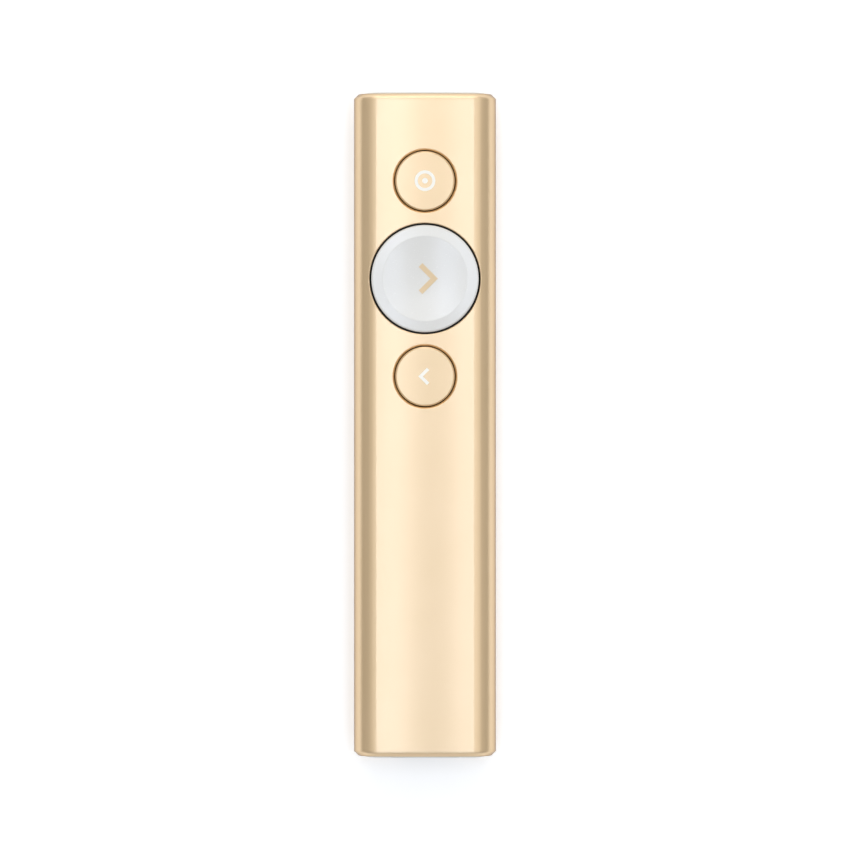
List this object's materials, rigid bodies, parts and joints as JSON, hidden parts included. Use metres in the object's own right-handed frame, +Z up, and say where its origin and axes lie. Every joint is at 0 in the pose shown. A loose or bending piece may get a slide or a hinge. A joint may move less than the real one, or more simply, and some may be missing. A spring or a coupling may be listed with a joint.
{
  "type": "presentation clicker",
  "caption": "slim bar-shaped wireless presentation remote in pale gold anodised aluminium, with round push buttons and a stowed plug-in receiver",
  "frame": {"origin": "on the flat of the back, under the middle of the body", "axes": "X across the body, +Y towards the end that points at the screen, +Z up out of the button face"},
  "size_m": [0.0282, 0.1314, 0.0121],
  "materials": {
    "gold_anodised_aluminium": "fine satin, pale gold anodised",
    "end_cap_plastic": "fine matt, warm light grey",
    "black_moulding": "fine matt, black",
    "circuit_board": "green solder mask",
    "chip_package": "matt black moulding compound",
    "antenna_ceramic": "fired ceramic",
    "plated_steel": "nickel plated",
    "battery_foil": "laminated foil pouch",
    "lead_insulation": "extruded insulation",
    "white_plastic": "moulded nylon",
    "gold_button": "satin, pale gold anodised",
    "white_button": "satin moulded white",
    "receiver_plastic": "fine matt, warm grey",
    "contact_brass": "gold flashed"
  },
  "bodies": {
    "handset": {"body_sleeve": "gold_anodised_aluminium", "front_end_cap": "end_cap_plastic", "rear_end_cap": "end_cap_plastic", "inner_chassis": "black_moulding", "bay_magnet": "plated_steel", "main_board": "circuit_board", "board_screws": "plated_steel", "microcontroller": "chip_package", "charging_chip": "chip_package", "motion_sensor": "chip_package", "antenna_chip": "antenna_ceramic", "radio_shield_can": "plated_steel", "usb_c_socket": "plated_steel", "battery_cell": "battery_foil", "battery_leads": "lead_insulation", "battery_connector": "white_plastic", "vibration_motor": "plated_steel", "pointer_switch": "chip_package", "next_switch": "chip_package", "back_switch": "chip_package"},
    "pointer_button": {"pointer_button_cap": "gold_button", "pointer_button_stem": "black_moulding", "pointer_plunger": "white_plastic"},
    "next_button": {"next_button_cap": "white_button", "next_button_stem": "black_moulding", "next_plunger": "white_plastic"},
    "back_button": {"back_button_cap": "gold_button", "back_button_stem": "black_moulding", "back_plunger": "white_plastic"},
    "receiver": {"receiver_upper_shell": "receiver_plastic", "receiver_lower_shell": "receiver_plastic", "receiver_board": "circuit_board", "receiver_chip": "chip_package", "receiver_plug_shell": "plated_steel", "receiver_tongue": "white_plastic", "receiver_contacts": "contact_brass"}
  },
  "joints": [
    {"name": "pointer_press", "type": "slide", "parent": "handset", "child": "pointer_button", "axis": [0, 0, -1], "range_m": [0, 0.0003], "stiffness_N_per_m": 6000},
    {"name": "next_press", "type": "slide", "parent": "handset", "child": "next_button", "axis": [0, 0, -1], "range_m": [0, 0.0003], "stiffness_N_per_m": 6000},
    {"name": "back_press", "type": "slide", "parent": "handset", "child": "back_button", "axis": [0, 0, -1], "range_m": [0, 0.0003], "stiffness_N_per_m": 6000},
    {"name": "receiver_pull", "type": "slide", "parent": "handset", "child": "receiver", "axis": [0, -1, 0], "range_m": [0, 0.045]}
  ]
}
